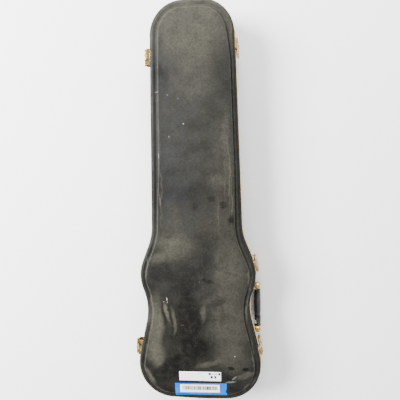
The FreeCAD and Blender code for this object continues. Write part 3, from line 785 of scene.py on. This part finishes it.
def swell(piece):
    """Lets the pad swell as a closed cloth bag, then keeps the shape."""
    remesh = piece.modifiers.new("Remesh", "REMESH")
    remesh.mode = "VOXEL"
    remesh.voxel_size = PAD_VOXEL
    remesh.use_smooth_shade = True
    keep_shape(piece)
    start = vertex_array(piece)
    cloth = piece.modifiers.new("Cloth", "CLOTH")
    cloth.settings.quality = 5
    cloth.settings.mass = 0.3
    cloth.settings.tension_stiffness = 12
    cloth.settings.compression_stiffness = 12
    cloth.settings.bending_stiffness = 0.4
    cloth.settings.use_pressure = True
    cloth.settings.uniform_pressure_force = 4.0
    cloth.settings.effector_weights.gravity = 0
    cloth.point_cache.frame_start = 1
    cloth.point_cache.frame_end = SWELL_FRAMES
    for step in range(1, SWELL_FRAMES + 1):
        bpy.context.scene.frame_set(step)
    keep_shape(piece)
    moved = vertex_array(piece) - start
    far = np.linalg.norm(moved, axis=1)
    share = np.minimum(1.0, SWELL_CAP / np.maximum(far, 1e-9))
    set_vertices(piece, start + moved * share[:, None])
    bpy.context.scene.frame_set(1)
    finer = piece.modifiers.new("Subdivision", "SUBSURF")
    finer.levels = 1
    finer.render_levels = 1
    for face in piece.data.polygons:
        face.use_smooth = True
    return piece


def keep_shape(piece):
    """Replaces the mesh with what its modifiers make of it."""
    graph = bpy.context.evaluated_depsgraph_get()
    graph.update()
    shaped = bpy.data.meshes.new_from_object(piece.evaluated_get(graph))
    piece.modifiers.clear()
    piece.data = shaped


def vertex_array(piece):
    points = np.zeros(len(piece.data.vertices) * 3)
    piece.data.vertices.foreach_get("co", points)
    return points.reshape(-1, 3)


def set_vertices(piece, points):
    piece.data.vertices.foreach_set("co", np.ascontiguousarray(points, float).ravel())
    piece.data.update()


def block_pad(name, low, high, shrink, notch=None):
    """A box-shaped pad, a little smaller than its space, with a notch across its top if given."""
    low = Vector(low) + Vector((shrink,) * 3)
    high = Vector(high) - Vector((shrink,) * 3)
    section = [(low.x, low.z), (high.x, low.z), (high.x, high.z)]
    if notch:
        half, floor = notch
        section += [(half + shrink, high.z), (half + shrink, floor - shrink)]
        section += [(-half - shrink, floor - shrink), (-half - shrink, high.z)]
    section.append((low.x, high.z))
    count = len(section)
    points = [(x, y, z) for y in (low.y, high.y) for x, z in section]
    faces = [tuple(range(count)), tuple(range(2 * count - 1, count - 1, -1))]
    faces += [(k, k + count, (k + 1) % count + count, (k + 1) % count) for k in range(count)]
    return add_mesh(name, points, faces)


def sheet_pad(name, inset, flat_z, soft_z, crown):
    """A pad over the whole plan: flat against the shell, crowned and uneven on the soft side."""
    up = 1 if soft_z > flat_z else -1
    thick = abs(soft_z - flat_z)
    back = [towards_spine(share, flat_z) for share in (1.0, 0.6, 0.2)]
    back += [ring(inset + step * MM, flat_z) for step in (18, 6)]
    for t in np.linspace(0, 90, 7):
        turn = math.radians(t)
        back.append(ring(inset + 4 * MM * (1 - math.sin(turn)), flat_z + up * thick * (1 - math.cos(turn))))
    soft = [ring(inset + step * MM, soft_z) for step in (2, 5, 8, 10, 12, 14, 17, 23, 30)]
    soft += [towards_spine(share, soft_z) for share in (0.0, 0.12, 0.26, 0.4, 0.55, 0.7, 0.85, 1.0)]
    for here in soft:
        depth = inset_of(here) - inset
        seam = np.exp(-((depth - 12 * MM) / (2.2 * MM)) ** 2) * 1.6 * MM
        uneven = ripple(here, 0.045, 0.7 * MM) + ripple(here, 0.13, 0.8 * MM)
        here[:, 2] += up * (crown * smooth(depth, 4 * MM, 40 * MM) - seam + uneven * smooth(depth, 0, 8 * MM))
    return loft(name, back + soft, False)


PULL_PITCH = 18  # steps of the outline from one pull to the next


def wall_pad(name, outer, thick, low, high, bulge):
    """Padding along the wall: rounded top and bottom, soft face bulging inwards between pulls."""
    middle = (low + high) / 2
    half = (high - low) / 2
    section = []
    for t in np.linspace(0, 360, 36, endpoint=False):
        c, s = math.cos(math.radians(t)), math.sin(math.radians(t))
        across = math.copysign(abs(c) ** 0.45, c)
        upward = math.copysign(abs(s) ** 0.35, s)
        section.append((outer + thick / 2 + across * thick / 2, middle + upward * half))
    rings = []
    run = np.arange(len(RIM))
    for inset, z in section:
        here = ring(inset, z)
        soft = max(0.0, (inset - outer) / thick - 0.35) / 0.65
        height = 1 - ((z - middle) / half) ** 2
        pulls = 0.5 + 0.5 * np.cos(run * (2 * math.pi / PULL_PITCH))
        push = bulge * soft * height * (1.0 - 0.35 * pulls ** 6)
        push = push + ripple(here, 0.03, 0.6 * MM) * soft
        here[:, :2] += INWARD * push[:, None]
        rings.append(here)
    return loft(name, rings, True)


def padding():
    plush = plush_finish("plush_charcoal", (0.02, 0.019, 0.022), (0.046, 0.043, 0.05))
    crown = 0.8 * MM
    shrink = 2.2 * MM
    neck_notch = (35 * MM, 50.5 * MM)  # half its width, and the height of its floor
    low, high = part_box("base_floor_pad")
    floor = sheet_pad("floor_cushion", 22.9 * MM, low.z + 0.2 * MM, high.z, crown)
    low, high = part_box("lid_top_pad")
    ceiling = sheet_pad("lid_cushion", 24.4 * MM, high.z - 0.2 * MM, low.z, crown)
    low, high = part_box("base_padding_neck_left")
    strips = [n for n in frame["nodes"] if n.startswith("base_padding_")]
    wall = wall_pad("wall_cushion", 7.8 * MM, 11.6 * MM, low.z + 0.3 * MM, high.z - 0.2 * MM, 1.6 * MM)
    low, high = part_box("lid_wall_lining")
    lining = wall_pad("lid_wall_cushion", 6.8 * MM, 4.6 * MM, low.z, high.z, 0.8 * MM)
    cradle = swell(block_pad("cradle_cushion", *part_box("neck_cradle"), shrink, neck_notch))
    rest = swell(block_pad("headstock_cushion", *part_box("headstock_pad"), shrink))
    pads = [
        (floor, ["base_floor_pad"], "base", 0.5),
        (ceiling, ["lid_top_pad"], "lid", 0.5),
        (wall, strips, "base", 0.7),
        (lining, ["lid_wall_lining"], "lid", 0.5),
        (cradle, ["neck_cradle"], "base", 0.8),
        (rest, ["headstock_pad"], "base", 0.8),
    ]
    for piece, nodes, body, fill in pads:
        stand_in(piece, plush, "plush", body, *nodes)
    return plush


# ---- accessory compartment ----
def covered_board(name, low, high, radius, puff):
    """A stiff board under plush: rounded corners and edges, faces slightly full."""
    low, high = Vector(low), Vector(high)
    size = high - low
    centre = (low + high) / 2
    work = bmesh.new()
    bmesh.ops.create_cube(work, size=1.0)
    bmesh.ops.scale(work, vec=size, verts=work.verts)
    bmesh.ops.translate(work, vec=centre, verts=work.verts)
    if radius:
        upright = [e for e in work.edges if abs((e.verts[0].co - e.verts[1].co).z) > size.z * 0.5]
        upright = [e for e in upright if e.verts[0].co.x > centre.x]
        bmesh.ops.bevel(work, geom=upright, offset=radius, segments=8, affect="EDGES", profile=0.5)
    edges = [e for e in work.edges if e.calc_face_angle(0.0) > 0.5]
    bmesh.ops.bevel(work, geom=edges, offset=min(size) * 0.32, segments=4, affect="EDGES", profile=0.5)
    longest = [e for e in work.edges if e.calc_length() > 0.03]
    while longest:
        bmesh.ops.subdivide_edges(work, edges=longest, cuts=1, use_grid_fill=True)
        longest = [e for e in work.edges if e.calc_length() > 0.03]
    bmesh.ops.triangulate(work, faces=work.faces)
    for vertex in work.verts:
        shift = (noise.noise(vertex.co * 40) + noise.noise(vertex.co * 15)) * puff
        vertex.co += vertex.normal * shift
    data = bpy.data.meshes.new(name)
    work.to_mesh(data)
    work.free()
    for face in data.polygons:
        face.use_smooth = True
    return add_object(name, data)


def strip(name, path, y_low, y_high, columns, waviness):
    """A cloth strip that follows a path of (x, z) points, between two places along Y."""
    points = []
    for k in range(columns + 1):
        y = y_low + (y_high - y_low) * k / columns
        for x, z in path:
            wave = noise.noise(Vector((x * 30, y * 34, z * 30))) * waviness
            points.append((x + wave, y, z + wave * 0.4))
    count = len(path)
    faces = []
    for k in range(columns):
        for j in range(count - 1):
            a = k * count + j
            faces.append((a, a + 1, a + count + 1, a + count))
    return add_mesh(name, points, faces)


def thicken(piece, thickness, offset=0.0):
    """Gives a sheet its thickness: to both sides at offset 0, outwards at offset 1."""
    solid = piece.modifiers.new("Solidify", "SOLIDIFY")
    solid.thickness = thickness
    solid.offset = offset
    keep_shape(piece)
    return piece


def boards(plush):
    """The compartment's two walls and its lid, which is returned."""
    puff = 0.12 * MM
    for name in ("compartment_front_wall", "compartment_rear_wall"):
        wall = covered_board(name + "_covered", *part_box(name), 0.0, puff)
        stand_in(wall, plush, "plush", "base", name)
    board = covered_board("compartment_lid_covered", *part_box("compartment_lid"), 8 * MM, puff)
    stand_in(board, plush, "plush", "compartment_lid", "compartment_lid")
    return board


def cloth_hinge(plush):
    """A strip of plush that comes down beside the wall padding and out onto the lid."""
    low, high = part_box("compartment_hinge_tape")
    middle = (low.x + high.x) / 2
    lid_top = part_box("compartment_lid")[1].z
    fold = [(middle, z) for z in np.linspace(high.z, low.z + 3.5 * MM, 5)]
    fold += [(middle + x * MM, low.z + z * MM) for x, z in ((0.5, 2.6), (1.6, 2.3), (3.4, 2.25))]
    fold += [(middle + x * MM, lid_top + 0.5 * MM) for x in (6.0, 9.0, 12.0)]
    tape = strip("compartment_cloth_hinge", fold, low.y, high.y, 60, 0.2 * MM)
    thicken(tape, 0.5 * MM)
    dress(tape, plush)
    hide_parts("compartment_hinge_tape")
    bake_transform(tape)


def pull_tab():
    """A ribbon sewn to the lid and folded back on itself."""
    low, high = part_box("compartment_pull_tab")
    bend = 2 * MM
    bottom = low.z + 0.35 * MM
    top = low.z + 1.5 * MM
    loop = [(x, bottom) for x in np.linspace(low.x, high.x - bend, 8)]
    loop += arc((high.x - bend, (bottom + top) / 2), (bend, (top - bottom) / 2), -70, 90, 7)
    loop += [(x, top - (high.x - bend - x) * 0.012) for x in np.linspace(high.x - 2 * bend, low.x, 8)]
    tab = strip("compartment_ribbon", loop, low.y, high.y, 16, 0.15 * MM)
    thicken(tab, 0.4 * MM)
    black = ribbon_finish("ribbon_black", (0.018, 0.018, 0.02), (0.06, 0.058, 0.06))
    stand_in(tab, black, "ribbon", "compartment_lid", "compartment_pull_tab")


def compartment(plush):
    board = boards(plush)
    cloth_hinge(plush)
    pull_tab()


# ---- stickers ----
SETTLING_STEPS = 260  # rounds of smoothing that let a sheet bridge the groove


def sticker_grid(name, node, turn, columns, rows, ripples, lift=0.12 * MM, tear=None):
    """A thin sheet of paper or tape pressed on the lid's top, which bridges the groove.

    It fills its CAD node's place; turn is its angle on the plan, 0 degrees or a little more.
    """
    low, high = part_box(node)
    centre = (low + high) / 2
    angle = math.radians(turn)
    c, s = math.cos(angle), math.sin(angle)
    spread_x, spread_y = high.x - low.x, high.y - low.y
    width = (spread_x * c - spread_y * s) / (c * c - s * s)
    depth = (spread_y * c - spread_x * s) / (c * c - s * s)
    points = []
    for j in range(rows + 1):
        v = j / rows - 0.5
        for i in range(columns + 1):
            u = i / columns - 0.5
            reach = width + (tear(v) * max(0.0, u * 2) if tear else 0.0)
            x, y = u * reach, v * depth
            points.append((centre.x + x * c - y * s, centre.y + x * s + y * c, 0.0))
    points = np.array(points)
    heights = lid_height(points).reshape(rows + 1, columns + 1)
    ground = heights.copy()
    for _ in range(SETTLING_STEPS):
        mean = heights.copy()
        mean[1:-1] = (heights[:-2] + heights[2:]) / 2
        heights = np.maximum(ground, mean * 0.9 + ground * 0.1)
    waves = np.abs(ripple(points, 0.012, ripples)) + np.abs(ripple(points, 0.03, ripples))
    points[:, 2] = heights.ravel() + lift + waves
    faces = []
    for j in range(rows):
        for i in range(columns):
            a = j * (columns + 1) + i
            faces.append((a, a + 1, a + columns + 2, a + columns + 1))
    piece = add_mesh(name, points, faces)
    layer = piece.data.uv_layers.new(name="sticker")
    for loop in piece.data.loops:
        index = loop.vertex_index
        layer.data[loop.index].uv = ((index % (columns + 1)) / columns, (index // (columns + 1)) / rows)
    return thicken(piece, 0.16 * MM, 1.0)


def box_mask(finish, u, v, span_u, span_v):
    """1 inside a rectangle on the sticker."""
    inside = []
    for place, (first, last), soft in ((u, span_u, 0.004), (v, span_v, 0.016)):
        inside += [finish.band(place, first, first + soft), finish.band(place, last, last - soft)]
    return finish.times(*inside)


def sticker_coordinates(finish):
    place = finish.node("UVMap", uv_map="sticker").outputs[0]
    split = finish.node("SeparateXYZ", {0: place})
    return split.outputs[0], split.outputs[1]


def paper_finish(name, lines, strokes, ink):
    """Matt white label with plain lines and a row of strokes in place of any print.

    A line is its span across, its span up and its strength; strokes also have a count.
    """
    finish = Finish(name, (0.84, 0.84, 0.83), 0.55, Specular_IOR_Level=0.35)
    u, v = sticker_coordinates(finish)
    finish.coat((0.62, 0.61, 0.58), finish.patches((120.0, 5.0, 0.65), 0.42, 0.72), 0.35)
    for span_u, span_v, strength in lines:
        finish.coat(ink, box_mask(finish, u, v, span_u, span_v), strength)
    for span_u, span_v, count, strength in strokes:
        picks = []
        for fineness, often in ((1.0, 0.62), (3.3, 0.74)):
            step = finish.math("FLOOR", finish.times(u, count * fineness))
            pick = finish.node("TexWhiteNoise", {"W": step}, noise_dimensions="1D").outputs["Value"]
            picks.append(finish.band(pick, often + 0.02, often - 0.02))
        dark = finish.times(picks[1], finish.band(picks[0], 0.0, 1.0, 0.5, 1.0))
        finish.coat(ink, box_mask(finish, u, v, span_u, span_v), dark, strength)
    finish.bump((finish.noise(1500.0, 2.0), 0.00003))
    return finish.material


def tape_finish(name):
    """Creped blue masking tape, lighter in random patches, with a painted highlight along the crepe streaks.
    """
    finish = Finish(name, (0.0, 0.08, 0.37), 0.7, Specular_IOR_Level=0.06)
    crepe = finish.streaks((1900, 260, 600), 1.1, 3.0, 0.6)
    finish.coat((0.0, 0.118, 0.47), finish.patches((42.0, 5.0, 0.6), 0.4, 0.64))
    # painted highlight: lighter blue along the crepe streaks
    finish.coat((0.0, 0.165, 0.56), crepe, 0.35)
    finish.bump((crepe, 0.00022))
    return finish.material


def torn_end(v):
    """How far the tape's torn end falls short, across its width."""
    ragged = noise.noise(Vector((v * 9.0, 3.1, 0.4))) * 2.2 + noise.noise(Vector((v * 31.0, 1.7, 0.9))) * 1.1
    notch = 5.5 * math.exp(-((v + 0.12) / 0.13) ** 2)
    return -(1.2 + ragged + notch) * MM


def stickers():
    label = sticker_grid("price_label_sheet", "price_label", 0.3, 60, 16, 0.15 * MM)
    marks = [((0.1, 0.52), (0.68, 0.74), 0.35), ((0.1, 0.6), (0.48, 0.54), 0.35)]
    marks += [((0.1, 0.38), (0.28, 0.34), 0.3)]
    marks += [((0.7, 0.76), (0.66, 0.92), 1.0), ((0.93, 0.985), (0.66, 0.92), 1.0)]
    marks += [((0.745, 0.805), (0.28, 0.58), 1.0), ((0.835, 0.89), (0.28, 0.58), 1.0)]
    marks += [((0.77, 0.925), (0.7, 0.86), 0.6)]
    white = paper_finish("label_paper", marks, [], (0.012, 0.012, 0.014))
    stand_in(label, white, "paper", "lid", "price_label")
    tape = sticker_grid("tape_sheet", "tape_strip", 1.1, 96, 40, 0.2 * MM, tear=torn_end)
    stand_in(tape, tape_finish("masking_tape"), "tape", "lid", "tape_strip")
    second = sticker_grid("tape_label_sheet", "tape_label", 1.1, 60, 18, 0.12 * MM, lift=0.75 * MM)
    faint = [((0.06, 0.3), (0.78, 0.86), 0.4), ((0.4, 0.62), (0.78, 0.86), 0.35)]
    faint += [((0.06, 0.5), (0.12, 0.18), 0.4)]
    row = [((0.05, 0.95), (0.3, 0.82), 58.0, 1.0)]
    striped = paper_finish("tape_label_paper", faint, row, (0.012, 0.008, 0.007))
    stand_in(second, striped, "paper", "lid", "tape_label")


# ---- hardware ----
def hardware():
    """CAD hardware keeps its shape; its edges are broken as on stamped and tumbled sheet metal."""
    brass = plated_finish("brass_plated", (0.74, 0.51, 0.2), (0.3, 0.19, 0.085))
    aged = plated_finish("hinge_brass", (0.62, 0.42, 0.16), (0.085, 0.05, 0.028), (0.16, 0.38))
    steel = plated_finish("pin_plated", (0.62, 0.57, 0.48), (0.4, 0.36, 0.3))
    rivet = plated_finish("rivet_plated", (0.66, 0.48, 0.22), (0.28, 0.19, 0.09), (0.2, 0.36))
    lock = plated_finish("lock_brushed", (0.72, 0.55, 0.3), (0.5, 0.37, 0.19), (0.3, 0.46))
    finishes = {"brass": (brass, 0.35 * MM), "steel_pins": (steel, 0.2 * MM), "rivets": (rivet, 0.0)}
    finishes["lock"] = (lock, 0.25 * MM)
    for part in frame["record"]["subparts"]:
        if part["material_slot"] not in finishes:
            continue
        material, edge = finishes[part["material_slot"]]
        if part["node"].startswith("hinge_") and material is brass:
            material = aged
        piece = frame["nodes"][part["node"]]
        dress(piece, material)
        weld = piece.modifiers.new("Weld", "WELD")
        weld.merge_threshold = 1e-6
        if edge:
            bevel = piece.modifiers.new("Bevel", "BEVEL")
            bevel.width = edge
            bevel.segments = 2
            bevel.limit_method = "ANGLE"
            bevel.angle_limit = math.radians(35)
        smoother = piece.modifiers.new("Normals", "WEIGHTED_NORMAL")
        smoother.keep_sharp = True


def grip():
    """Moulded grip: a full oval bar with finger swells and a parting line."""
    low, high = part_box("handle_grip")
    centre = (low + high) / 2
    half = (high.y - low.y) / 2
    radius = (high.x - low.x) / 2
    rings = []
    around = np.radians(np.arange(0, 360, 7.5))
    for t in np.linspace(-1, 1, 61):
        body = radius * (0.86 + 0.14 * (1 - t * t) + 0.022 * math.cos(t * math.pi * 4))
        end = math.sqrt(max(0.0, 1 - max(0.0, abs(t) - 0.96) ** 2 / 0.05 ** 2))
        seam = 1 + 0.018 * np.exp(-((np.abs(np.sin(around))) / 0.08) ** 2)
        x = centre.x + body * end * np.cos(around) * 0.93 * seam
        z = centre.z + body * end * np.sin(around)
        rings.append(np.column_stack([x, np.full(len(around), centre.y + t * half), z]))
    tips = [np.tile([centre.x, centre.y + end * half, centre.z], (len(around), 1)) for end in (-1, 1)]
    piece = loft("moulded_grip", [tips[0]] + rings + [tips[1]], False)
    black = grip_finish("grip_plastic")
    stand_in(piece, black, "grip", "handle", "handle_grip")
    for end in ("upper", "lower"):
        dress(frame["nodes"]["handle_end_cap_" + end], black)


# ---- stage ----
def area_light(name, place, size, power):
    """A soft light that faces the origin."""
    data = bpy.data.lights.new(name, "AREA")
    data.shape = "RECTANGLE"
    data.size, data.size_y = size
    data.energy = power
    lamp = add_object(name, data)
    lamp.location = place
    lamp.rotation_euler = (-Vector(place)).to_track_quat("-Z", "Y").to_euler()


def studio():
    data = bpy.data.meshes.new("ground")
    far = 6.0
    data.from_pydata([(-far, -far, 0), (far, -far, 0), (far, far, 0), (-far, far, 0)], [], [(0, 1, 2, 3)])
    ground = add_object("ground", data)
    ground.location.z = CAD_BOX[0][2] - 0.2 * MM
    data.materials.append(ground_finish("studio_paper"))
    world = bpy.data.worlds.new("studio")
    world.use_nodes = True
    sky = world.node_tree.nodes["Background"]
    sky.inputs[0].default_value = (1.0, 1.0, 1.0, 1.0)
    sky.inputs[1].default_value = 1.1
    bpy.context.scene.world = world
    area_light("soft_left", (-2.5, 0.9, 2.0), (1.6, 1.6), 520.0)
    area_light("soft_head", (0.5, 2.6, 1.7), (2.0, 1.0), 150.0)


def camera():
    data = bpy.data.cameras.new("camera")
    data.lens = CAMERA_LENS
    seen = add_object("camera", data)
    ahead = (CAMERA_AIM - CAMERA_AT).normalized()
    right = ahead.cross(Vector((0, 1, 0))).normalized()
    up = right.cross(ahead)
    turned_right = right * math.cos(CAMERA_ROLL) + up * math.sin(CAMERA_ROLL)
    turned_up = up * math.cos(CAMERA_ROLL) - right * math.sin(CAMERA_ROLL)
    axes = Matrix((turned_right, turned_up, -ahead)).transposed().to_4x4()
    seen.matrix_world = Matrix.Translation(CAMERA_AT) @ axes
    bpy.context.scene.camera = seen


shells()
compartment(padding())
stickers()
hardware()
grip()
studio()
camera()
